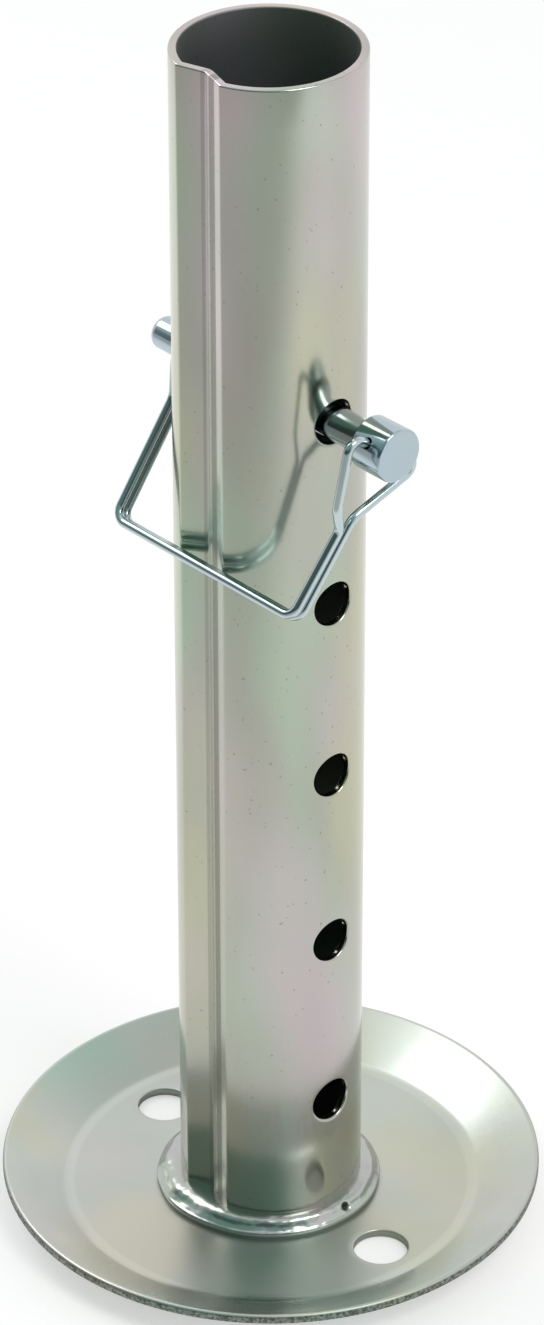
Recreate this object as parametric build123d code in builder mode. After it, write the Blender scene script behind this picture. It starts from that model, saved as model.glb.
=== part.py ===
from build123d import *
import math
import os

os.makedirs("parts", exist_ok=True)

# Drop leg for a trailer tongue jack. Millimetres.
# Origin: centre of the foot plate's underside. Z runs up the leg, X along the lock pin towards its
# head, and the leg's lengthwise flute faces -Y.

# Foot plate: one dished sheet-steel pressing
plate_od = 144.5
plate_t = 2.4
flat_r = 55.6          # where the flat meets the raised flange, before the bend is rounded
rim_z = 11.2           # top of the rim above the ground
bend_r = 6.0           # inside radius of the bend
rim_break = 0.4
anchor_hole_d = 14.3
anchor_r = 43.2        # each anchor hole from the leg's axis

# Leg tube, with one flute rolled along its whole length
tube_od = 48.3
tube_wall = 2.2
tube_top = 337.0
flute_depth = 3.7
flute_width = 15.6
shoulder_r = 1.7       # both corners of the flute, measured on the outside
root_r = 2.0           # bottom of the flute, measured on the outside
end_break = 0.4

# Cross-holes through both walls, for setting the height
hole_d = 11.8
hole_pitch = 50.8
hole_count = 5
first_hole_z = 40.1
top_hole_up = 1.1      # the top pair stands this much above the even pitch

# Weld between leg and plate
weld_leg = 4.7
weld_crown = 0.6

# Lock pin, headed, with a rounded tail
pin_d = 8.8
pin_sit = 1.4          # between the pin and the bottom of the holes it goes through
tail_out = 16.5        # how far the tail stands out past the tube
tail_taper = 2.4       # length of the rounded tail
tail_face_d = 5.0
head_out = 12.0        # between the head and the tube
head_d = 14.0
head_len = 10.5
head_chamfer = 0.7

# Lock wire, one spring wire folded back on itself
wire_d = 2.4
wire_play = 0.3        # round the wire in the head's cross-hole
wire_insert = 6.0      # each end inside the head
near_leg_reach = 15.4  # how far the leg on the outer side stands out before it turns down
far_leg_reach = 13.4   # the same for the leg towards the flute, which is bowed
leg_r = 3.0
pair_gap = 0.3         # between the two runs lying side by side
bar_below = 39.6       # pin axis to the bar, straight down
bar_front_out = 1.4    # the bar's middle, past the front of the tube
bar_head_out = 13.2    # the loop's arm on the head's side, past the tube
bar_tail_out = 4.2     # the arm on the tail's side, past the tube
corner_r = 3.6
merge_out = 15.7       # where the two legs come together, past the tube
merge_drop = 20.2
eye_out = 2.5          # the eye's middle, past the tube
eye_play = 0.7         # between the eye and the pin
eye_neck = 13.0        # pin axis to where the eye's two sides meet
eye_open = 4.0         # pin axis to where they part fully
bend_step = 40.0       # degrees turned by each chord of a bend


def bent_path(points, radii):
    """Give the points of a line whose inner corners are cut back by short chords to their radii."""
    path = [points[0]]
    for before, corner, after, radius in zip(points, points[1:], points[2:], radii):
        to_before, to_after = (before - corner).normalized(), (after - corner).normalized()
        turn = 180 - to_before.get_angle(to_after)
        steps = round(turn / bend_step)
        if steps == 0:
            path.append(corner)
            continue
        half = math.radians(180 - turn) / 2
        centre = corner + (to_before + to_after).normalized() * (radius / math.sin(half))
        reach = radius / math.tan(half)
        start, end = corner + to_before * reach - centre, corner + to_after * reach - centre
        for i in range(steps + 1):
            angle = math.radians(turn) * i / steps
            share = math.sin(math.radians(turn) - angle), math.sin(angle)
            point = centre + (start * share[0] + end * share[1]) * (1 / math.sin(math.radians(turn)))
            if (point - path[-1]).length > 0.01:
                path.append(point)
    return path + [points[-1]]


# The foot plate is turned from its section: flat middle, bend, raised flange.
flange_slope = math.atan2(rim_z - plate_t, plate_od / 2 - flat_r)
rim_h = plate_t / math.cos(flange_slope)
under_r = flat_r + plate_t * math.tan(flange_slope / 2)

with BuildPart() as foot_plate:
    with BuildSketch(Plane.XZ) as plate_section:
        with BuildLine():
            Polyline(
                (0, 0),
                (under_r, 0),
                (plate_od / 2, rim_z - rim_h),
                (plate_od / 2, rim_z),
                (flat_r, plate_t),
                (0, plate_t),
                close=True,
            )
        make_face()
        fillet(plate_section.vertices().sort_by_distance((flat_r, plate_t))[0], bend_r)
        fillet(plate_section.vertices().sort_by_distance((under_r, 0))[0], bend_r + plate_t)
        chamfer(plate_section.vertices().group_by(Axis.X)[-1], rim_break)
    revolve(axis=Axis.Z)
    with Locations((-anchor_r, 0, 0), (anchor_r, 0, 0)):
        Hole(anchor_hole_d / 2)

foot_plate.part.label = "foot_plate"
export_step(foot_plate.part, "parts/foot_plate.step")


# The tube's outline is a circle with a shallow V rolled into it.
tube_r = tube_od / 2
shoulder_y = -math.sqrt(tube_r**2 - (flute_width / 2) ** 2)
flute_shoulders = [(-flute_width / 2, shoulder_y), (flute_width / 2, shoulder_y)]
flute_root = (0, flute_depth - tube_r)

with BuildSketch() as tube_outline:
    with BuildLine():
        ThreePointArc(flute_shoulders[0], (0, tube_r), flute_shoulders[1])
        Polyline(flute_shoulders[1], flute_root, flute_shoulders[0])
    make_face()
    for shoulder in flute_shoulders:
        fillet(tube_outline.vertices().sort_by_distance(shoulder)[0], shoulder_r)
    fillet(tube_outline.vertices().sort_by_distance(flute_root)[0], root_r)

hole_zs = [first_hole_z + i * hole_pitch for i in range(hole_count)]
hole_zs[-1] += top_hole_up

with BuildPart() as leg_tube:
    with BuildSketch(Plane.XY.offset(plate_t)):
        add(tube_outline.sketch)
        offset(tube_outline.sketch, amount=-tube_wall, mode=Mode.SUBTRACT)
    extrude(amount=tube_top - plate_t)
    chamfer(leg_tube.edges().group_by(Axis.Z)[-1], end_break)
    with BuildSketch(Plane.YZ):
        with Locations(*[(0, z) for z in hole_zs]):
            Circle(hole_d / 2)
    extrude(amount=tube_od, both=True, mode=Mode.SUBTRACT)

leg_tube.part.label = "leg_tube"
export_step(leg_tube.part, "parts/leg_tube.step")


# The weld is a ring with a crowned face, which also fills the flute.
with BuildPart() as weld_bead:
    with BuildSketch(Plane.XZ):
        with BuildLine():
            inner_r = tube_r - flute_depth - shoulder_r
            crown = weld_leg / 2 + weld_crown * math.sqrt(0.5)
            Polyline(
                (inner_r, plate_t),
                (inner_r, plate_t + weld_leg),
                (tube_r, plate_t + weld_leg),
                (tube_r + crown, plate_t + crown),
                (tube_r + weld_leg, plate_t),
                close=True,
            )
        make_face()
    revolve(axis=Axis.Z)
    with BuildSketch(Plane.XY.offset(plate_t)):
        add(tube_outline.sketch)
    extrude(amount=2 * weld_leg, mode=Mode.SUBTRACT)

weld_bead.part.label = "weld_bead"
export_step(weld_bead.part, "parts/weld_bead.step")


# The pin goes through the top pair of cross-holes, and the loop hangs from its head.
pin_z = hole_zs[-1] - (hole_d - pin_d) / 2 + pin_sit
pin_tail_x = -tube_r - tail_out
head_x = tube_r + head_out
wire_x = head_x + head_len / 2
bar_front = tube_r + bar_front_out
loop_drop = math.hypot(bar_front, bar_below)
cross_axis = (0, bar_below / loop_drop, -bar_front / loop_drop)
loop_plane = Plane(origin=(0, 0, pin_z), x_dir=(1, 0, 0), z_dir=cross_axis)
shank_r, head_r = pin_d / 2, head_d / 2
tail_mid_r = (shank_r + tail_face_d / 2) / 2 + tail_taper / 8

with BuildPart() as lock_pin:
    with BuildSketch(Plane(origin=(0, 0, pin_z), x_dir=(1, 0, 0), z_dir=(0, -1, 0))):
        with BuildLine():
            Polyline(
                (pin_tail_x, 0),
                (pin_tail_x, tail_face_d / 2),
                (pin_tail_x + tail_taper / 3, tail_mid_r),
                (pin_tail_x + tail_taper, shank_r),
                (head_x, shank_r),
                (head_x, head_r - head_chamfer),
                (head_x + head_chamfer, head_r),
                (head_x + head_len - head_chamfer, head_r),
                (head_x + head_len, head_r - head_chamfer),
                (head_x + head_len, 0),
                close=True,
            )
        make_face()
    revolve(axis=Axis((0, 0, pin_z), (1, 0, 0)))
    with BuildSketch(Plane(origin=(wire_x, 0, pin_z), z_dir=cross_axis)):
        Circle(wire_d / 2 + wire_play)
    extrude(amount=head_d, both=True, mode=Mode.SUBTRACT)

lock_pin.part.label = "lock_pin"
export_step(lock_pin.part, "parts/lock_pin.step")


# The wire is laid out in the loop's own plane: along the pin, down the loop, and across it.
bar_head_x, merge_x = tube_r + bar_head_out, tube_r + merge_out
bar_tail_x, eye_x = -tube_r - bar_tail_out, -tube_r - eye_out
pair_h = (wire_d + pair_gap) / 2
eye_r = shank_r + eye_play + wire_d / 2
end_h = head_r - wire_insert


def wire_run(side):
    """Give the corners from the bar's end near the head to the middle of the eye, with radii."""
    return [
        ((bar_head_x, loop_drop, side * pair_h), corner_r),
        ((bar_tail_x, loop_drop, side * pair_h), corner_r),
        ((eye_x, eye_neck, side * pair_h), eye_r),
        ((eye_x, eye_open, side * eye_r), eye_r),
        ((eye_x, -eye_r, side * eye_r), eye_r),
    ]


near_leg = [
    ((wire_x, 0, near_leg_reach), leg_r),
    ((merge_x, merge_drop - wire_d / 2, pair_h), eye_r),
]
far_leg = [
    ((wire_x, 0, -far_leg_reach), leg_r),
    ((merge_x + wire_d / 2, merge_drop - wire_d, -far_leg_reach / 2), leg_r),
    ((merge_x, merge_drop + wire_d, -pair_h), leg_r),
]
corners = near_leg + wire_run(1) + wire_run(-1)[::-1] + far_leg[::-1]
wire_points = [(wire_x, 0, end_h)] + [point for point, _ in corners] + [(wire_x, 0, -end_h)]

with BuildPart() as lock_wire:
    with BuildLine() as wire_line:
        Polyline(
            *bent_path(
                [loop_plane.from_local_coords(point) for point in wire_points],
                [radius for _, radius in corners],
            )
        )
    with BuildSketch(Plane(origin=wire_line.line @ 0, z_dir=wire_line.line % 0)):
        Circle(wire_d / 2)
    sweep(transition=Transition.RIGHT)

lock_wire.part.label = "lock_wire"
export_step(lock_wire.part, "parts/lock_wire.step")
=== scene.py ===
import math

import bmesh
import bpy
from mathutils import Matrix, Vector, noise


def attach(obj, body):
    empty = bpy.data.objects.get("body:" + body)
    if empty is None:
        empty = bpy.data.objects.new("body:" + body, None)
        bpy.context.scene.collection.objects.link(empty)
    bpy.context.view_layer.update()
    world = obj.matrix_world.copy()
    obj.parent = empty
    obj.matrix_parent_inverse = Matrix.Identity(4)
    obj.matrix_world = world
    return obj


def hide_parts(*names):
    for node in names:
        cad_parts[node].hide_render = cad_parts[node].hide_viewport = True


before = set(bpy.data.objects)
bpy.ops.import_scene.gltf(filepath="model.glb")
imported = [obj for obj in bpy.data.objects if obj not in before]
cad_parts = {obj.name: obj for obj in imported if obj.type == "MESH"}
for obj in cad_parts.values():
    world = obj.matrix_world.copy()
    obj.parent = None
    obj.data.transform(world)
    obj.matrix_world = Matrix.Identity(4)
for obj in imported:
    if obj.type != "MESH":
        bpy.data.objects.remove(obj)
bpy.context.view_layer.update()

# Drop leg for a trailer tongue jack. The scene is in metres. Sizes of the part are in millimetres,
# with the origin and the axes of the CAD model.
MM = 0.001

# Photograph's camera, in the part's frame
PHOTO_W, PHOTO_H = 544, 1325
AZIMUTH, ELEVATION, DISTANCE, ROLL = 47.707, 32.433, 1.4546, -0.108
AIM_Z = 0.1445
FOCAL_PX = 5679.3
AXIS_PX = (270.02, 728.96)              # where the lens axis meets the photograph
SENSOR_W = 36.0

# Surroundings: white all round, but dim at the flute's side and a little overhead at the back
WHITE = (1.0, 1.0, 1.0)
DIM_WAY = Vector((0.19, -0.97, 0.17)).normalized()
DIM_SPREAD = (0.05, 0.7)                # cosines from DIM_WAY where it starts and is complete
DIM_LOW_TONE, DIM_HIGH_TONE = (0.08, 0.11, 0.115), (0.225, 0.385, 0.345)
DIM_HEIGHTS = (0.30, 0.52)              # where the low tone turns into the high one
OVERHEAD_WAY = Vector((0.1, 0.48, 0.87)).normalized()
OVERHEAD_SPREAD = (0.85, 0.985)
OVERHEAD_TONE = (0.70, 0.73, 0.71)
FLOOR_HALF, FLOOR_Z = 8.0, -0.0001
FLOOR_WAY = Vector((0.2, -0.98, 0))     # the way in which the floor gets darker
FLOOR_SPREAD = (0.1, 0.52)              # how far out it starts and is complete
FLOOR_NEAR_TONE, FLOOR_FAR_TONE = (0.60, 0.58, 0.58), (0.40, 0.39, 0.37)
FLOOR_NEAR_GLOW, FLOOR_FAR_GLOW, MIRRORED_FAR_GLOW = 0.47, 0.75, 0.23
FLOOR_SHADE = (60, 70)                  # radii in mm between which the shade under the plate ends
LAMP_SIZE = 0.5
LAMPS = [       # name, place, point that it faces, power
    ("key", (-0.75, -0.15, 0.93), (0, 0, 0.1), 2.0),
    ("side", (0.78, 0.0, 1.22), (0, 0, 0.24), 4.0),
]

# Tints that drift over the zinc
GREEN, ROSE, STRAW = (0.45, 0.60, 0.46), (0.62, 0.52, 0.56), (0.58, 0.56, 0.38)

# Foot plate
PLATE_R, PLATE_T, FLAT_R, RIM_Z, BEND_R = 72.0, 2.4, 55.6, 11.2, 6.0
RIM_TOP_R, RIM_LOW_R = 1.0, 0.6         # rounding of the sheared edge
RIM_BURR = 0.3                          # how much lower the sheared edge hangs than the sheet
RIM_STEPS = 192
ANCHOR_R, ANCHOR_HOLE_R, ANCHOR_ROUND = 43.2, 7.15, 0.5
ANCHOR_COLLAR = 1.5                     # flat ring round an anchor hole
ANCHOR_STEPS, ANCHOR_ROUND_STEPS = 64, 4

# Leg tube. Both walls are a grid, and each cross-hole is worked into a square of it.
TUBE_R, TUBE_WALL, TUBE_TOP, TOP_ROUND = 24.15, 2.2, 337.0, 0.5
FLUTE_DEPTH, FLUTE_HALF, SHOULDER_R, ROOT_R = 3.7, 7.8, 1.7, 2.0
FLANK = math.atan2(math.sqrt(TUBE_R**2 - FLUTE_HALF**2) - (TUBE_R - FLUTE_DEPTH), FLUTE_HALF)
INNER_SHOULDER_R = 0.6
HOLE_R, HOLE_ZS = 5.9, [40.1, 90.9, 141.7, 192.5, 244.4]
OUTER_LIP, INNER_LIP = 0.7, 0.25        # rounding of a cross-hole's edges
SQUARE_HALF, SQUARE_STEPS = 8.6, 14
SQUARE_SHARES = (0.3, 0.6, 0.85)        # where rings lie between the square and the hole
BACK_STEPS, SIDE_STEPS, CORNER_STEPS, FLANK_STEPS = 90, 24, 8, 5
SQUARE_COLUMNS = {1: 0, -1: SQUARE_STEPS + BACK_STEPS}      # first column, by side of the leg
ROWS_BETWEEN, ROWS_ABOVE = 5, 8
QUARTER_TURN = range(0, 91, 18)         # degrees at which a rounded edge has its rings

# Weld
WELD_LEG = 4.7
WELD_BULGES = [(1.7, -132), (0.5, 48)]  # how much wider it gets, and at which bearing
WELD_STEPS, WELD_FACE_STEPS = 600, 26
WELD_SQUARENESS = 0.8                   # under 1 makes the face fuller than a circle
WELD_IN_TUBE, WELD_IN_PLATE, WELD_BACK = 0.35, 0.2, 0.3
PIT, PIT_R, PIT_DEPTH = Vector((27.6, 1.9, 6.0)), 1.7, 1.1      # small blow-hole

# Lock pin
PIN_Z, PIN_R, PIN_TAIL_X, TAIL_LEN, TAIL_FACE_R = 244.3, 4.4, -40.65, 2.4, 1.2
HEAD_R, HEAD_X, HEAD_LEN, HEAD_ROUND, HEAD_FACE_R = 7.0, 36.15, 10.5, 0.7, 3.0
HEAD_ROUND_STEPS = 6
PIN_NECK = [(0, -0.3), (0.1, -0.08), (0.3, 0)]      # fillet under the head, from shank and face
PIN_STEPS, SHANK_ROWS = 128, 6
CUTTER_STEPS, CUTTER_REACH = 40, 20
SHARP_ANGLE = 35

# Lock wire, named as in the CAD model
WIRE_D, WIRE_PLAY, WIRE_INSERT, PAIR_GAP = 2.4, 0.3, 6.0, 0.3
NEAR_LEG_REACH, FAR_LEG_REACH, LEG_R = 15.4, 13.4, 3.0
BAR_BELOW, BAR_FRONT_OUT, BAR_HEAD_OUT, BAR_TAIL_OUT, CORNER_R = 39.6, 1.4, 13.2, 4.2, 3.6
MERGE_OUT, MERGE_DROP = 15.7, 20.2
EYE_OUT, EYE_PLAY, EYE_NECK, EYE_OPEN = 2.5, 0.7, 13.0, 4.0
WIRE_STEPS, BEND_STEP = 28, 9.0
LOOP_DROP = math.hypot(TUBE_R + BAR_FRONT_OUT, BAR_BELOW)
CROSS_AXIS = Vector((0, BAR_BELOW / LOOP_DROP, -(TUBE_R + BAR_FRONT_OUT) / LOOP_DROP))
LOOP_DOWN = Vector((0, -(TUBE_R + BAR_FRONT_OUT) / LOOP_DROP, -BAR_BELOW / LOOP_DROP))


def metres(*values):
    """Give values in millimetres as metres."""
    return [MM * value for value in values]


def add_camera():
    az, el = math.radians(AZIMUTH), math.radians(ELEVATION)
    back = Vector((math.sin(az) * math.cos(el), -math.cos(az) * math.cos(el), math.sin(el)))
    data = bpy.data.cameras.new("camera")
    data.sensor_width = SENSOR_W
    data.lens = FOCAL_PX * SENSOR_W / PHOTO_H
    data.shift_x = (PHOTO_W / 2 - AXIS_PX[0]) / PHOTO_H
    data.shift_y = (AXIS_PX[1] - PHOTO_H / 2) / PHOTO_H
    data.clip_end = 20
    camera = bpy.data.objects.new("camera", data)
    bpy.context.scene.collection.objects.link(camera)
    camera.matrix_world = (
        Matrix.Translation(Vector((0, 0, AIM_Z)) + back * DISTANCE)
        @ back.to_track_quat("Z", "Y").to_matrix().to_4x4()
        @ Matrix.Rotation(math.radians(ROLL), 4, "Z")
    )
    bpy.context.scene.camera = camera


class Nodes:
    """Shorthand for adding shader nodes to one tree; most methods give an output socket."""

    def __init__(self, tree):
        self.tree = tree
        self.link = tree.links.new

    def feed(self, value, socket):
        """Link a socket to an input, or set the input to a constant."""
        if isinstance(value, bpy.types.NodeSocket):
            self.link(value, socket)
        else:
            socket.default_value = value

    def add(self, kind, values=(), **settings):
        """Add a node, and set its inputs from pairs of a name and a socket or a constant."""
        node = self.tree.nodes.new("ShaderNode" + kind)
        for key, value in settings.items():
            setattr(node, key, value)
        for name, value in values:
            self.feed(value, node.inputs[name])
        return node

    def coordinates(self, kind):
        return self.add("TexCoord").outputs[kind]

    def axes(self, vector):
        """Give a vector's x, y and z."""
        return self.add("SeparateXYZ", [("Vector", vector)]).outputs

    def math(self, operation, *values):
        return self.add("Math", enumerate(values), operation=operation).outputs[0]

    def measure(self, operation, vector, other):
        """Give the dot product of two vectors or the distance between them."""
        node = self.add("VectorMath", [(0, vector), (1, other)], operation=operation)
        return node.outputs["Value"]

    def radius(self):
        """Give the distance from the leg's axis."""
        x, y, _ = self.axes(self.coordinates("Object"))
        return self.math("SQRT", self.math("MULTIPLY_ADD", x, x, self.math("MULTIPLY", y, y)))

    def ramp(self, value, low, high, to_low=0.0, to_high=1.0):
        """Map low..high smoothly to to_low..to_high."""
        limits = [("Value", value), ("From Min", low), ("From Max", high)]
        limits += [("To Min", to_low), ("To Max", to_high)]
        return self.add("MapRange", limits, interpolation_type="SMOOTHSTEP").outputs["Result"]

    def fall(self, value, low, high):
        """Give 1 where value is below low, fading to 0 at high."""
        return self.ramp(value, low, high, 1.0, 0.0)

    def between(self, value, low, high, soft):
        """Give 1 where value lies from low to high, fading over soft at both ends."""
        rise = self.ramp(value, low - soft, low)
        return self.math("MULTIPLY", rise, self.fall(value, high, high + soft))

    def cloud(self, vector, scale, detail, offset):
        """Give a soft noise from 0 to 1."""
        shift = (offset, 2.7 * offset, -1.3 * offset)
        moved = self.add("Mapping", [("Vector", vector), ("Location", shift)]).outputs["Vector"]
        texture = [("Vector", moved), ("Scale", scale), ("Detail", detail)]
        return self.add("TexNoise", texture).outputs["Fac"]

    def mix(self, factor, first, second, blend="MIX"):
        """Blend two colours, each a socket or a tuple."""
        node = self.add("Mix", data_type="RGBA", blend_type=blend)
        factor_input, first_input, second_input = (node.inputs[i] for i in (0, 6, 7))
        self.feed(factor, factor_input)
        for color, color_input in ((first, first_input), (second, second_input)):
            self.feed((*color, 1) if isinstance(color, tuple) else color, color_input)
        return node.outputs[2]


def light_world():
    """Light the part from all round, less from the dim side and from the spot overhead."""
    world = bpy.data.worlds.new("studio")
    bpy.context.scene.world = world
    world.use_nodes = True
    nodes = Nodes(world.node_tree)
    way = nodes.coordinates("Generated")
    dim = nodes.mix(nodes.ramp(nodes.axes(way)[2], *DIM_HEIGHTS), DIM_LOW_TONE, DIM_HIGH_TONE)
    sideways = nodes.ramp(nodes.measure("DOT_PRODUCT", way, DIM_WAY), *DIM_SPREAD)
    overhead = nodes.ramp(nodes.measure("DOT_PRODUCT", way, OVERHEAD_WAY), *OVERHEAD_SPREAD)
    sky = nodes.mix(overhead, nodes.mix(sideways, WHITE, dim), OVERHEAD_TONE)
    nodes.link(sky, world.node_tree.nodes["Background"].inputs["Color"])


def floor_paint():
    """Make the floor's matt finish, darker at the flute's side, with a glow that hides its edge."""
    paint = bpy.data.materials.new("floor")
    paint.use_nodes = True
    shader = paint.node_tree.nodes["Principled BSDF"]
    nodes = Nodes(paint.node_tree)
    along = nodes.measure("DOT_PRODUCT", nodes.coordinates("Object"), FLOOR_WAY)
    away = nodes.ramp(along, *FLOOR_SPREAD)
    nodes.link(nodes.mix(away, FLOOR_NEAR_TONE, FLOOR_FAR_TONE), shader.inputs["Base Color"])
    shader.inputs["Roughness"].default_value = 0.9
    shader.inputs["Specular IOR Level"].default_value = 0.0

    # In the metal, the floor glows less at the flute's side and not at all under the plate
    ray = nodes.add("LightPath").outputs
    mirrored = nodes.math("MAXIMUM", ray["Is Glossy Ray"], ray["Is Transmission Ray"])
    glow = nodes.ramp(away, 0, 1, FLOOR_NEAR_GLOW, MIRRORED_FAR_GLOW)
    glow = nodes.math("MULTIPLY", glow, nodes.ramp(nodes.radius(), *metres(*FLOOR_SHADE)))
    glow = nodes.math("MULTIPLY", mirrored, glow)
    backdrop = nodes.ramp(away, 0, 1, FLOOR_NEAR_GLOW, FLOOR_FAR_GLOW)
    backdrop = nodes.math("MULTIPLY", ray["Is Camera Ray"], backdrop)
    nodes.link(nodes.math("MAXIMUM", glow, backdrop), shader.inputs["Emission Strength"])
    shader.inputs["Emission Color"].default_value = (*WHITE, 1)
    return paint


def lay_floor():
    corners = ((-1, -1), (1, -1), (1, 1), (-1, 1))
    mesh = bpy.data.meshes.new("floor")
    mesh.from_pydata([(FLOOR_HALF * x, FLOOR_HALF * y, FLOOR_Z) for x, y in corners], [], [range(4)])
    floor = bpy.data.objects.new("floor", mesh)
    bpy.context.scene.collection.objects.link(floor)
    mesh.materials.append(floor_paint())


def add_lamp(name, place, aim, power):
    """Hang a square soft lamp at place, facing aim."""
    data = bpy.data.lights.new(name, "AREA")
    data.size = LAMP_SIZE
    data.energy = power
    lamp = bpy.data.objects.new(name, data)
    bpy.context.scene.collection.objects.link(lamp)
    lamp.location = place
    lamp.rotation_euler = (Vector(place) - Vector(aim)).to_track_quat("Z", "Y").to_euler()


def zinc(name, color, tints=(), streak=(1, 1, 1), roughness=(0.12, 0.2), specks=0.0, grain=0.0):
    """Make a plated metal: drifting tints, uneven polish, fine grain and small dark specks.

    A tint is a colour, the most that shows of it, and the scale of its patches.
    """
    paint = bpy.data.materials.new(name)
    paint.use_nodes = True
    shader = paint.node_tree.nodes["Principled BSDF"]
    shader.inputs["Metallic"].default_value = 1.0
    nodes = Nodes(paint.node_tree)
    place = nodes.coordinates("Object")
    drawn = nodes.add("Mapping", [("Vector", place), ("Scale", streak)]).outputs["Vector"]

    patches = nodes.cloud(drawn, scale=14, detail=3, offset=5.1)
    patch_color, speck_color = (tuple(share * c for c in color) for share in (0.86, 0.4))
    tone = nodes.mix(nodes.ramp(patches, 0.3, 0.7), patch_color, color)
    for i, (tint, share, scale) in enumerate(tints):
        drift = nodes.cloud(drawn, scale, detail=2, offset=11.3 * (i + 1))
        tone = nodes.mix(nodes.ramp(drift, 0.45, 0.68, 0, share), tone, tint)
    if specks:
        dots = nodes.cloud(place, scale=900, detail=1, offset=3.3)
        tone = nodes.mix(nodes.ramp(dots, 0.735, 0.76, 0, specks), tone, speck_color)
    nodes.link(tone, shader.inputs["Base Color"])

    polish = nodes.cloud(drawn, scale=40, detail=4, offset=8.8)
    nodes.link(nodes.ramp(polish, 0.3, 0.7, *roughness), shader.inputs["Roughness"])
    if grain:
        height = nodes.cloud(place, scale=260, detail=5, offset=1.9)
        bump = nodes.add("Bump", [("Height", height), ("Strength", 0.35), ("Distance", MM * grain)])
        nodes.link(bump.outputs["Normal"], shader.inputs["Normal"])
    return paint


def retouch(paint, mask, color, rough=None):
    """Where the mask is 1, multiply a paint's colour by another and give it its own roughness."""
    nodes = Nodes(paint.node_tree)
    shader = paint.node_tree.nodes["Principled BSDF"]
    tone = shader.inputs["Base Color"].links[0].from_socket
    nodes.link(nodes.mix(mask, tone, color, "MULTIPLY"), shader.inputs["Base Color"])
    if rough is not None:
        polish = shader.inputs["Roughness"].links[0].from_socket
        mixed = nodes.math("MULTIPLY_ADD", nodes.math("SUBTRACT", rough, polish), mask, polish)
        nodes.link(mixed, shader.inputs["Roughness"])


def plate_paint():
    """Satin in the middle, with a painted highlight along the bend, and a rough, dark rim that is
    sheared and partly painted shade.
    """
    paint = zinc(
        "zinc_plate", (0.555, 0.595, 0.55),
        tints=[((0.45, 0.60, 0.53), 0.9, 12), ((0.61, 0.55, 0.56), 0.5, 15), (STRAW, 0.4, 20)],
        roughness=(0.24, 0.38), grain=0.01,
    )
    nodes = Nodes(paint.node_tree)
    out = nodes.radius()
    middle = nodes.fall(out, *metres(FLAT_R - 3.6, FLAT_R - 1.1))
    retouch(paint, middle, WHITE, rough=0.36)
    # Painted highlight: the bend is brighter
    bend = nodes.between(out, *metres(FLAT_R - 2.3, FLAT_R - 0.3, 0.8))
    retouch(paint, bend, (1.07, 1.07, 1.07))
    # Painted shade: the rounded rim is darker, which dims its highlight, and rougher
    rounding = nodes.ramp(out, *metres(PLATE_R - 0.6, PLATE_R - 0.3))
    retouch(paint, rounding, (0.8, 0.8, 0.8), rough=0.45)
    # The sheared edge is torn and pitted, and its darkness is partly painted shade under the rim
    sheared = nodes.ramp(out, *metres(PLATE_R - 0.3, PLATE_R - 0.1))
    pores = nodes.cloud(nodes.coordinates("Object"), scale=1300, detail=3, offset=4.4)
    torn = nodes.mix(nodes.ramp(pores, 0.35, 0.65), (0.22, 0.23, 0.22), (0.68, 0.70, 0.68))
    retouch(paint, sheared, torn, rough=0.5)
    return paint


def tube_paint():
    """Painted shade low down, inside, at the flute's root and on its right flank; rougher inside and
    in the flute.
    """
    paint = zinc(
        "zinc_tube", (0.51, 0.50, 0.45),
        tints=[(GREEN, 0.6, 26), (ROSE, 0.9, 22), (STRAW, 0.6, 30)],
        streak=(1, 1, 0.4), roughness=(0.14, 0.21), specks=0.5, grain=0.03,
    )
    nodes = Nodes(paint.node_tree)
    x, y, z = nodes.axes(nodes.coordinates("Object"))
    # Painted shade: the tube gets darker and greener towards the bottom
    painted_low_shade = nodes.fall(z, *metres(120, 280))
    retouch(paint, painted_low_shade, (0.87, 0.90, 0.87))

    # The inside is where the surface faces the leg's axis
    normal = nodes.axes(nodes.add("NewGeometry").outputs["Normal"])
    outward = nodes.math("MULTIPLY_ADD", x, normal[0], nodes.math("MULTIPLY", y, normal[1]))
    inside = nodes.fall(outward, *metres(-14, -10))
    # Painted shade inside the tube, which is also rougher
    retouch(paint, inside, (0.43, 0.50, 0.50), rough=0.62)

    # Painted shade in the flute's groove: darker and rougher on the right flank and at the root
    front, flank_painted_shade = nodes.fall(y, *metres(-20, -19)), nodes.between(x, *metres(2.4, 4.7, 0.6))
    retouch(paint, nodes.math("MULTIPLY", front, flank_painted_shade), (0.55, 0.57, 0.53), rough=0.3)
    front, root = nodes.fall(y, *metres(-19.5, -18.5)), nodes.between(x, *metres(-1, 1, 0.4))
    retouch(paint, nodes.math("MULTIPLY", front, root), (0.78, 0.78, 0.78), rough=0.25)
    return paint


def weld_paint():
    """Bright, with painted shade in the blow-hole and along the toe."""
    paint = zinc(
        "weld_metal", (0.50, 0.53, 0.49),
        tints=[((0.54, 0.46, 0.52), 0.7, 60), ((0.42, 0.5, 0.44), 0.6, 45)],
        roughness=(0.16, 0.3), specks=0.5, grain=0.04,
    )
    nodes = Nodes(paint.node_tree)
    place = nodes.coordinates("Object")
    # Painted shade in the blow-hole, which is also rough
    pit_painted_shade = nodes.fall(nodes.measure("DISTANCE", place, PIT * MM), *metres(PIT_R - 0.7, PIT_R - 0.1))
    retouch(paint, pit_painted_shade, (0.16, 0.16, 0.15), rough=0.75)
    # Painted shade: a darker, rougher line where the weld meets the plate
    toe = nodes.fall(nodes.axes(place)[2], *metres(PLATE_T + 0.6, PLATE_T + 1.4))
    retouch(paint, toe, (0.45, 0.46, 0.45), rough=0.5)
    return paint


def pin_paint():
    tints = [((0.44, 0.52, 0.64), 0.4, 60)]
    return zinc("zinc_pin", (0.47, 0.565, 0.61), tints, roughness=(0.06, 0.12), grain=0.02)


def wire_paint():
    tints = [((0.5, 0.55, 0.66), 0.4, 50)]
    return zinc("zinc_wire", (0.54, 0.63, 0.65), tints, roughness=(0.08, 0.16), grain=0.02)


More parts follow.
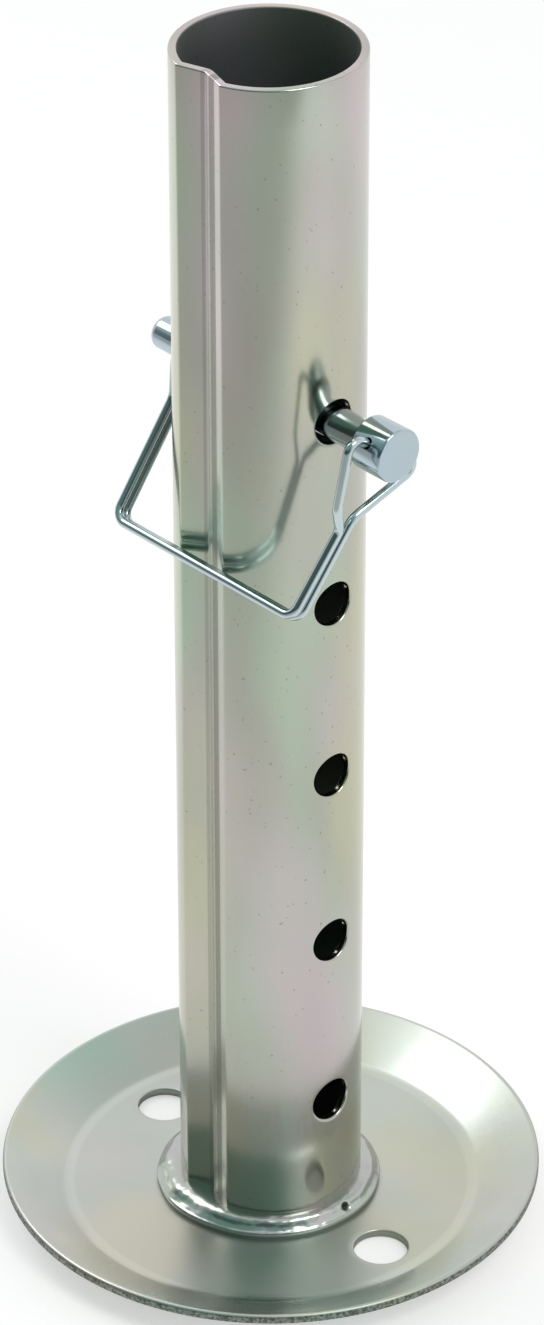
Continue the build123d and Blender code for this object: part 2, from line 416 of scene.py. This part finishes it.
def add_piece(name, bm, paint, node, body):
    """Turn a bmesh in millimetres into the piece that stands for a CAD node.

    Faces with material index 1 come out flat-shaded, and all others smooth.
    """
    bmesh.ops.remove_doubles(bm, verts=bm.verts, dist=1e-4)
    bmesh.ops.scale(bm, vec=(MM, MM, MM), verts=bm.verts)
    bmesh.ops.recalc_face_normals(bm, faces=bm.faces)
    for face in bm.faces:
        face.smooth = face.material_index == 0
        face.material_index = 0
    mesh = bpy.data.meshes.new(name)
    bm.to_mesh(mesh)
    bm.free()
    mesh.materials.append(paint)
    piece = bpy.data.objects.new(name, mesh)
    bpy.context.scene.collection.objects.link(piece)
    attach(piece, body)
    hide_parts(node)
    return piece


def span(start, end, count):
    """Give count steps from start to end, without the end."""
    return [start + (end - start) * i / count for i in range(count)]


def straight(start, end, count):
    """Give points on a line, without its end."""
    return list(zip(span(start[0], end[0], count), span(start[1], end[1], count)))


def on_circle(centre, radius, degrees):
    turn = math.radians(degrees)
    return centre[0] + radius * math.cos(turn), centre[1] + radius * math.sin(turn)


def arc(centre, radius, start, end, count):
    """Give points on an arc, angles in degrees, without its end."""
    return [on_circle(centre, radius, degrees) for degrees in span(start, end, count)]


def swing(start, end, share):
    """Turn start towards end by a share of the angle between them, at start's length."""
    return start.normalized().slerp(end.normalized(), share) * start.length


def skin(bm, rings, closed=False):
    """Join each ring of vertices to the next with quads, and the last to the first if closed."""
    for low, high in zip(rings, rings[1:] + rings[:1] if closed else rings[1:]):
        count = len(low)
        for i in range(count):
            j = (i + 1) % count
            bm.faces.new((low[i], low[j], high[j], high[i]))


def lathe(bm, profile, steps, place):
    """Turn a profile of (radius, height) round an axis, and give its rings of vertices.

    place maps (x, y, height) to a point. Where the radius is 0, the ring is a single vertex.
    """
    rings = []
    for r, h in profile:
        angles = span(0, 2 * math.pi, steps if r else 1)
        rings.append([bm.verts.new(place(r * math.cos(a), r * math.sin(a), h)) for a in angles])
    for low, high in zip(rings, rings[1:]):
        if len(low) == len(high):
            skin(bm, [low, high])
            continue
        tip, ring = (low[0], high) if len(low) == 1 else (high[0], low)
        for i in range(steps):
            bm.faces.new((ring[i], ring[(i + 1) % steps], tip))
    return rings


def round_corner(before, corner, after, radius, count=6):
    """Give the points of a profile's corner, rounded to the radius."""
    a, c, b = Vector(before), Vector(corner), Vector(after)
    to_a, to_b = (a - c).normalized(), (b - c).normalized()
    half = to_a.angle(to_b) / 2
    centre = c + (to_a + to_b).normalized() * (radius / math.sin(half))
    start, end = (c + way * radius / math.tan(half) - centre for way in (to_a, to_b))
    return [tuple(centre + swing(start, end, i / count)) for i in range(count + 1)]


def plate_profile():
    """Give the plate's section, from the middle of its underside round the rim and back."""
    slope = math.atan2(RIM_Z - PLATE_T, PLATE_R - FLAT_R)
    corners = [
        (0, 0),
        (FLAT_R + PLATE_T * math.tan(slope / 2), 0),
        (PLATE_R, RIM_Z - PLATE_T / math.cos(slope) - RIM_BURR),
        (PLATE_R, RIM_Z),
        (FLAT_R, PLATE_T),
        (0, PLATE_T),
    ]
    radii = [BEND_R + PLATE_T, RIM_LOW_R, RIM_TOP_R, BEND_R]
    profile = []
    for before, corner, after, radius in zip(corners, corners[1:], corners[2:], radii):
        profile += round_corner(before, corner, after, radius)
    return profile


def anchor_profile():
    """Give the section of an anchor hole's edge, from the plate's underside to its top."""
    edge, steps = ANCHOR_HOLE_R + ANCHOR_ROUND, ANCHOR_ROUND_STEPS
    low, high = ANCHOR_ROUND, PLATE_T - ANCHOR_ROUND
    profile = [(edge + ANCHOR_COLLAR, 0), (edge, 0)]
    profile += arc((edge, low), ANCHOR_ROUND, 270, 180, steps)
    profile += [(ANCHOR_HOLE_R, low), (ANCHOR_HOLE_R, high)]
    profile += arc((edge, high), ANCHOR_ROUND, 180, 90, steps)[1:]
    return profile + [(edge, PLATE_T), (edge + ANCHOR_COLLAR, PLATE_T)]


def fill(bm, loops):
    """Fill the flat face between an outer loop of vertices and those of its holes."""
    edges = []
    for loop in loops:
        edges += [bm.edges.get(pair) for pair in zip(loop, loop[1:] + loop[:1])]
    filled = bmesh.ops.triangle_fill(bm, edges=edges, use_beauty=True)
    for face in filled["geom"]:
        if isinstance(face, bmesh.types.BMFace):
            face.material_index = 1


def make_plate(paint):
    bm = bmesh.new()
    turned = [lathe(bm, plate_profile(), RIM_STEPS, lambda x, y, z: (x, y, z))]
    for middle in (-ANCHOR_R, ANCHOR_R):
        turned.append(lathe(bm, anchor_profile(), ANCHOR_STEPS, lambda x, y, z: (middle + x, y, z)))
    for end in (0, -1):
        fill(bm, [rings[end] for rings in turned])
    return add_piece("plate", bm, paint, "foot_plate", "leg")


def tube_outline(inset, shoulder_r, root_r):
    """Give the tube's section as (x, y) points, from the +X side round the back to the flute.

    The columns of one square come first, those of the other after the back.
    """
    radius = TUBE_R - inset
    edge = math.degrees(math.asin(SQUARE_HALF / radius))
    flank = math.degrees(FLANK)

    # A shoulder's centre lies shoulder_r inside both the round and the flank
    along = Vector((math.cos(FLANK), -math.sin(FLANK)))
    inward = Vector((math.sin(FLANK), math.cos(FLANK)))
    root_y = -(TUBE_R - FLUTE_DEPTH) + inset / math.cos(FLANK)
    base = Vector((0, root_y)) + inward * shoulder_r
    b, c = base.dot(along), base.length_squared - (radius - shoulder_r) ** 2
    centre = base + along * (-b + math.sqrt(b * b - c))
    meet = math.degrees(math.atan2(centre.y, centre.x))

    # The flank runs from the shoulder's end at its top to the root's end at its foot
    top = centre - inward * shoulder_r
    root = (0, root_y - root_r / math.cos(FLANK))
    foot = (root_r * math.sin(FLANK), root[1] + root_r * math.cos(FLANK))

    square = span(-SQUARE_HALF, SQUARE_HALF, SQUARE_STEPS)
    points = [(math.sqrt(radius**2 - y * y), y) for y in square]
    points += arc((0, 0), radius, edge, 180 - edge, BACK_STEPS)
    square = span(SQUARE_HALF, -SQUARE_HALF, SQUARE_STEPS)
    points += [(-math.sqrt(radius**2 - y * y), y) for y in square]
    points += arc((0, 0), radius, 180 + edge, 180 - meet, SIDE_STEPS)
    points += arc((-centre.x, centre.y), shoulder_r, 180 - meet, 270 + flank, CORNER_STEPS)
    points += straight((-top.x, top.y), (-foot[0], foot[1]), FLANK_STEPS)
    points += arc(root, root_r, 90 + flank, 90 - flank, CORNER_STEPS)
    points += straight(foot, (top.x, top.y), FLANK_STEPS)
    points += arc(tuple(centre), shoulder_r, 270 - flank, 360 + meet, CORNER_STEPS)
    points += arc((0, 0), radius, 360 + meet, 360 - edge, SIDE_STEPS)
    return points


def tube_rows():
    """Give the heights of the walls' rows, and the first row of each cross-hole's square."""
    zs, square_rows = [PLATE_T], []
    for z in HOLE_ZS:
        zs += span(zs[-1], z - SQUARE_HALF, ROWS_BETWEEN)[1:]
        square_rows.append(len(zs))
        zs += span(z - SQUARE_HALF, z + SQUARE_HALF, SQUARE_STEPS) + [z + SQUARE_HALF]
    end = TUBE_TOP - TOP_ROUND
    return zs + span(zs[-1], end, ROWS_ABOVE)[1:] + [end], square_rows


def lay_wall(bm, points, zs, square_rows):
    """Lay one wall without its squares, and give its grid of vertices."""
    left_out = {
        (first + column, low + row)
        for first in SQUARE_COLUMNS.values()
        for low in square_rows
        for column in range(SQUARE_STEPS)
        for row in range(SQUARE_STEPS)
    }
    grid = [[bm.verts.new((x, y, z)) for x, y in points] for z in zs]
    count = len(points)
    for row, (low, high) in enumerate(zip(grid, grid[1:])):
        for i in range(count):
            j = (i + 1) % count
            if (i, row) not in left_out:
                bm.faces.new((low[i], low[j], high[j], high[i]))
    return grid


def round_top(bm, walls, edges):
    """Join both walls' top edges over the rounded end."""
    across = []
    for (x, y), (u, v) in zip(*walls):
        thick = math.hypot(u - x, v - y)
        across.append(((u - x) / thick, (v - y) / thick))
    rings = [edges[0]]
    turns = QUARTER_TURN[1:]
    for points, sign, order in ((walls[0], 1, turns), (walls[1], -1, reversed(turns))):
        for turn in map(math.radians, order):
            inset = sign * TOP_ROUND * (1 - math.cos(turn))
            z = TUBE_TOP - TOP_ROUND + TOP_ROUND * math.sin(turn)
            rings.append([
                bm.verts.new((x + dx * inset, y + dy * inset, z))
                for (x, y), (dx, dy) in zip(points, across)
            ])
    skin(bm, rings + [edges[1]])


def square_border(grid, column, row):
    """Give the vertices round a square, from its lower first corner."""
    last, top = column + SQUARE_STEPS, row + SQUARE_STEPS
    border = [grid[row][c] for c in range(column, last)]
    border += [grid[r][last] for r in range(row, top)]
    border += [grid[top][c] for c in range(last, column, -1)]
    return border + [grid[r][column] for r in range(top, row, -1)]


def work_hole(bm, border, side, hole_z, radius, lip, outward):
    """Fill a square with rings down to the cross-hole's edge, and give the last ring.

    outward is 1 where the wall's surface faces +X, and -1 where it faces -X.
    """
    angles = [math.atan2(vertex.co.z - hole_z, vertex.co.y) for vertex in border]

    def ring_of(points, sink=0.0):
        return [
            bm.verts.new((side * math.sqrt(radius**2 - y * y) - sink, y, hole_z + z))
            for y, z in points
        ]

    rings = [border]
    for share in SQUARE_SHARES:
        points = []
        for a in angles:
            c, s = math.cos(a), math.sin(a)
            reach = SQUARE_HALF / max(abs(c), abs(s))
            square_y, square_z = reach * c, reach * s
            y = square_y + ((HOLE_R + lip) * c - square_y) * share
            z = square_z + ((HOLE_R + lip) * s - square_z) * share
            points.append((y, z))
        rings.append(ring_of(points))
    for turn in map(math.radians, QUARTER_TURN):
        r, sink = HOLE_R + lip * (1 - math.sin(turn)), lip * (1 - math.cos(turn))
        points = [(r * math.cos(a), r * math.sin(a)) for a in angles]
        rings.append(ring_of(points, outward * sink))
    skin(bm, rings)
    return rings[-1]


def make_tube(paint):
    bm = bmesh.new()
    zs, square_rows = tube_rows()
    outer = tube_outline(0, SHOULDER_R, ROOT_R)
    inner = tube_outline(TUBE_WALL, INNER_SHOULDER_R, ROOT_R + TUBE_WALL)
    grids = [lay_wall(bm, points, zs, square_rows) for points in (outer, inner)]
    skin(bm, [grid[0] for grid in grids])
    round_top(bm, (outer, inner), [grid[-1] for grid in grids])

    for side, column in SQUARE_COLUMNS.items():
        for hole_z, row in zip(HOLE_ZS, square_rows):
            outside, inside = (square_border(grid, column, row) for grid in grids)
            skin(bm, [
                work_hole(bm, outside, side, hole_z, TUBE_R, OUTER_LIP, side),
                work_hole(bm, inside, side, hole_z, TUBE_R - TUBE_WALL, INNER_LIP, -side),
            ])
    return add_piece("tube", bm, paint, "leg_tube", "leg")


def reach_at(polar, angle):
    """Give how far the tube's outside lies from its axis at an angle."""
    angle = (angle + math.pi) % (2 * math.pi) - math.pi
    for (a, r), (b, s) in zip(polar, polar[1:]):
        if a <= angle <= b:
            return r + (s - r) * (angle - a) / (b - a)
    return polar[0][1]


def swell(share, middle, width):
    """Give a soft hump of height 1 on the way from the weld's upper end to its toe."""
    return math.exp(-(((share - middle) / width) ** 2))


def weld_section(angle, tube_reach):
    """Give the weld's section at an angle: its face from the tube down, then its hidden back."""
    around = Vector((math.cos(angle), math.sin(angle), 0))
    base = tube_reach - WELD_IN_TUBE
    wide = WELD_LEG * (1.04 + 0.05 * noise.noise(around * 2.1))
    for more, bearing in WELD_BULGES:
        wide += more * max(0, math.cos(angle - math.radians(bearing))) ** 2
    wide += TUBE_R - base - WELD_IN_TUBE
    tall = WELD_LEG * (1.08 + 0.08 * noise.noise(around * 2.7 + Vector((5, 0, 0))))
    toe = 0.3 + 0.2 * noise.noise(around * 3.1)

    section = []
    for k in range(WELD_FACE_STEPS + 1):
        share = k / WELD_FACE_STEPS
        turn = math.pi / 2 * share
        out, up = math.sin(turn) ** WELD_SQUARENESS, math.cos(turn) ** WELD_SQUARENESS
        lump = 0.22 * noise.noise(Vector((around.x * 5, around.y * 5, turn)))
        lump += 0.07 * noise.noise(Vector((around.x * 15, around.y * 15, turn * 3)))
        lump *= math.sin(2 * turn)
        lump += toe * swell(share, 0.87, 0.07)
        lump -= 0.3 * swell(share, 0.6, 0.16)
        r = base + out * wide + lump
        point = Vector((around.x * r, around.y * r, PLATE_T + up * tall + lump))
        depth = PIT_DEPTH * max(0, 1 - (point - PIT).length / PIT_R)
        section.append(point - (around * out + Vector((0, 0, up))).normalized() * depth)

    back, under = base - WELD_BACK, PLATE_T - WELD_IN_PLATE
    for r, z in ((base + wide, under), (back, under), (back, PLATE_T + tall)):
        section.append(Vector((around.x * r, around.y * r, z)))
    return section


def make_weld(paint):
    bm = bmesh.new()
    outline = tube_outline(0, SHOULDER_R, ROOT_R)
    polar = sorted((math.atan2(y, x), math.hypot(x, y)) for x, y in outline)
    rings = []
    for i in range(WELD_STEPS):
        angle = 2 * math.pi * i / WELD_STEPS
        rings.append([bm.verts.new(point) for point in weld_section(angle, reach_at(polar, angle))])
    skin(bm, rings, closed=True)
    return add_piece("weld", bm, paint, "weld_bead", "leg")


def pin_profile():
    """Give the pin's section as (radius, x) points, from its tail to its head."""
    tail, end = (PIN_R - TAIL_LEN, PIN_TAIL_X + TAIL_LEN), HEAD_X + HEAD_LEN
    profile = [(0, PIN_TAIL_X), (TAIL_FACE_R, PIN_TAIL_X)]
    for turn in map(math.radians, range(0, 91, 10)):
        profile.append((tail[0] + TAIL_LEN * math.sin(turn), tail[1] - TAIL_LEN * math.cos(turn)))
    profile += [(PIN_R, x) for x in span(tail[1], HEAD_X + PIN_NECK[0][1], SHANK_ROWS)[1:]]
    profile += [(PIN_R + r, HEAD_X + x) for r, x in PIN_NECK]
    for x, first, last in ((HEAD_X + HEAD_ROUND, 180, 90), (end - HEAD_ROUND, 90, 0)):
        centre = (x, HEAD_R - HEAD_ROUND)
        rounded = arc(centre, HEAD_ROUND, first, last, HEAD_ROUND_STEPS)
        rounded.append(on_circle(centre, HEAD_ROUND, last))
        profile += [(r, h) for h, r in rounded]
    return profile + [(HEAD_FACE_R, end), (0, end)]


def wire_hole_cutter():
    """Make the rod that leaves the wire's hole in the head."""
    spin = CROSS_AXIS.to_track_quat("Z", "Y")
    centre = Vector((HEAD_X + HEAD_LEN / 2, 0, PIN_Z))
    radius, reach = WIRE_D / 2 + WIRE_PLAY, CUTTER_REACH
    bm = bmesh.new()
    profile = [(0, -reach), (radius, -reach), (radius, reach), (0, reach)]
    lathe(bm, profile, CUTTER_STEPS, lambda x, y, h: centre + spin @ Vector((x, y, h)))
    bmesh.ops.scale(bm, vec=(MM, MM, MM), verts=bm.verts)
    bmesh.ops.recalc_face_normals(bm, faces=bm.faces)
    mesh = bpy.data.meshes.new("cutter")
    bm.to_mesh(mesh)
    bm.free()
    cutter = bpy.data.objects.new("cutter", mesh)
    bpy.context.scene.collection.objects.link(cutter)
    return cutter


def make_pin(paint):
    bm = bmesh.new()
    lathe(bm, pin_profile(), PIN_STEPS, lambda x, y, h: (h, x, PIN_Z + y))
    piece = add_piece("pin", bm, paint, "lock_pin", "pin")

    cutter = wire_hole_cutter()
    cut = piece.modifiers.new("cut", "BOOLEAN")
    cut.operation, cut.object, cut.solver = "DIFFERENCE", cutter, "EXACT"
    bpy.context.view_layer.update()
    graph = bpy.context.evaluated_depsgraph_get()
    bored = bpy.data.meshes.new_from_object(piece.evaluated_get(graph))
    piece.modifiers.clear()
    piece.data = bored
    bpy.data.objects.remove(cutter)
    bored.set_sharp_from_angle(angle=math.radians(SHARP_ANGLE))
    return piece


def bent_path(points, radii):
    """Give the points of a line whose inner corners are rounded to their radii."""
    path = [points[0]]
    for before, corner, after, radius in zip(points, points[1:], points[2:], radii):
        to_before, to_after = (before - corner).normalized(), (after - corner).normalized()
        turn = 180 - math.degrees(to_before.angle(to_after))
        half = math.radians(180 - turn) / 2
        centre = corner + (to_before + to_after).normalized() * (radius / math.sin(half))
        reach = radius / math.tan(half)
        start, end = corner + to_before * reach - centre, corner + to_after * reach - centre
        count = max(2, math.ceil(turn / BEND_STEP))
        for i in range(count + 1):
            point = centre + swing(start, end, i / count)
            if (point - path[-1]).length > 0.01:
                path.append(point)
    return path + [points[-1]]


def tube_along(bm, path, radius, sides):
    """Sweep a round section along a path, without twist, and close both ends."""
    tangents = []
    for i in range(len(path)):
        before, after = path[max(i - 1, 0)], path[min(i + 1, len(path) - 1)]
        tangents.append((after - before).normalized())
    across = tangents[0].orthogonal().normalized()
    rings = []
    for i, (point, tangent) in enumerate(zip(path, tangents)):
        if i:
            across = tangents[i - 1].rotation_difference(tangent) @ across
        across = (across - tangent * across.dot(tangent)).normalized()
        other = tangent.cross(across)
        rings.append([
            bm.verts.new(point + (across * math.cos(a) + other * math.sin(a)) * radius)
            for a in span(0, 2 * math.pi, sides)
        ])
    skin(bm, rings)
    bm.faces.new(rings[0])
    bm.faces.new(rings[-1])


def wire_corners():
    """Give the wire's corners, end to end, as places along the pin, down and across, with radii."""
    wire_x, merge_x = HEAD_X + HEAD_LEN / 2, TUBE_R + MERGE_OUT
    bar_head_x, bar_tail_x = TUBE_R + BAR_HEAD_OUT, -TUBE_R - BAR_TAIL_OUT
    eye_x, eye_r = -TUBE_R - EYE_OUT, PIN_R + EYE_PLAY + WIRE_D / 2
    pair_h = (WIRE_D + PAIR_GAP) / 2

    def run(side):
        return [
            ((bar_head_x, LOOP_DROP, side * pair_h), CORNER_R),
            ((bar_tail_x, LOOP_DROP, side * pair_h), CORNER_R),
            ((eye_x, EYE_NECK, side * pair_h), eye_r),
            ((eye_x, EYE_OPEN, side * eye_r), eye_r),
            ((eye_x, -eye_r, side * eye_r), eye_r),
        ]

    near_leg = [
        ((wire_x, 0, NEAR_LEG_REACH), LEG_R),
        ((merge_x, MERGE_DROP - WIRE_D / 2, pair_h), eye_r),
    ]
    far_leg = [
        ((wire_x, 0, -FAR_LEG_REACH), LEG_R),
        ((merge_x + WIRE_D / 2, MERGE_DROP - WIRE_D, -FAR_LEG_REACH / 2), LEG_R),
        ((merge_x, MERGE_DROP + WIRE_D, -pair_h), LEG_R),
    ]
    return near_leg + run(1) + run(-1)[::-1] + far_leg[::-1]


def make_wire(paint):
    corners = wire_corners()
    wire_x, end_h = HEAD_X + HEAD_LEN / 2, HEAD_R - WIRE_INSERT
    places = [(wire_x, 0, end_h)] + [place for place, _ in corners] + [(wire_x, 0, -end_h)]
    start = Vector((0, 0, PIN_Z))
    points = [
        start + Vector((along, 0, 0)) + LOOP_DOWN * down + CROSS_AXIS * across
        for along, down, across in places
    ]
    bm = bmesh.new()
    path = bent_path(points, [radius for _, radius in corners])
    tube_along(bm, path, WIRE_D / 2, WIRE_STEPS)
    return add_piece("wire", bm, paint, "lock_wire", "pin")


add_camera()
light_world()
lay_floor()
for name, place, aim, power in LAMPS:
    add_lamp(name, place, aim, power)
bpy.context.scene.view_settings.view_transform = "Standard"

plate_zinc, tube_zinc, weld_zinc = plate_paint(), tube_paint(), weld_paint()
pin_zinc, wire_zinc = pin_paint(), wire_paint()

make_plate(plate_zinc)
make_tube(tube_zinc)
make_weld(weld_zinc)
make_pin(pin_zinc)
make_wire(wire_zinc)
